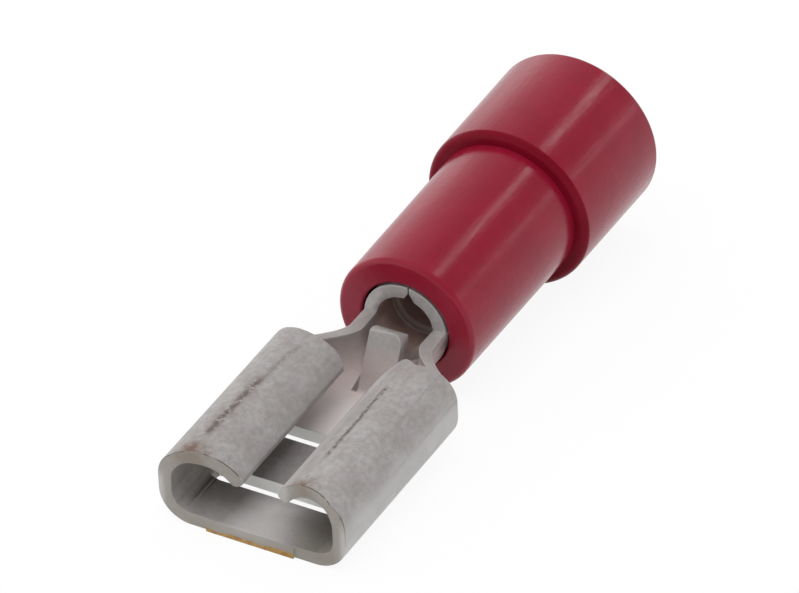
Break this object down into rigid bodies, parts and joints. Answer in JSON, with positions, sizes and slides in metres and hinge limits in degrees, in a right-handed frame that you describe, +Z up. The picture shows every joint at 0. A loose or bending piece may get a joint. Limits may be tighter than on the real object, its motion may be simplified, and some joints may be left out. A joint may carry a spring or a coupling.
{
  "type": "insulated female spade terminal",
  "caption": "Female push-on spade terminal with two rolled edges that grip a flat tab, a wire barrel with a butt seam, a tab stop tongue and a stepped red insulating sleeve.",
  "frame": {"origin": "on the axis of the wire barrel, where the barrel's front rim is flush with the sleeve's front face", "axes": "+X out of the receptacle's mouth towards the tab, -X the way the wire leaves, +Z up with the floor of the receptacle below"},
  "size_m": [0.0187, 0.0058, 0.0052],
  "materials": {
    "plated_strip": "matte tin plating",
    "sleeve": "smooth"
  },
  "bodies": {
    "root": {"terminal": "plated_strip", "insulating_sleeve": "sleeve"}
  },
  "joints": []
}
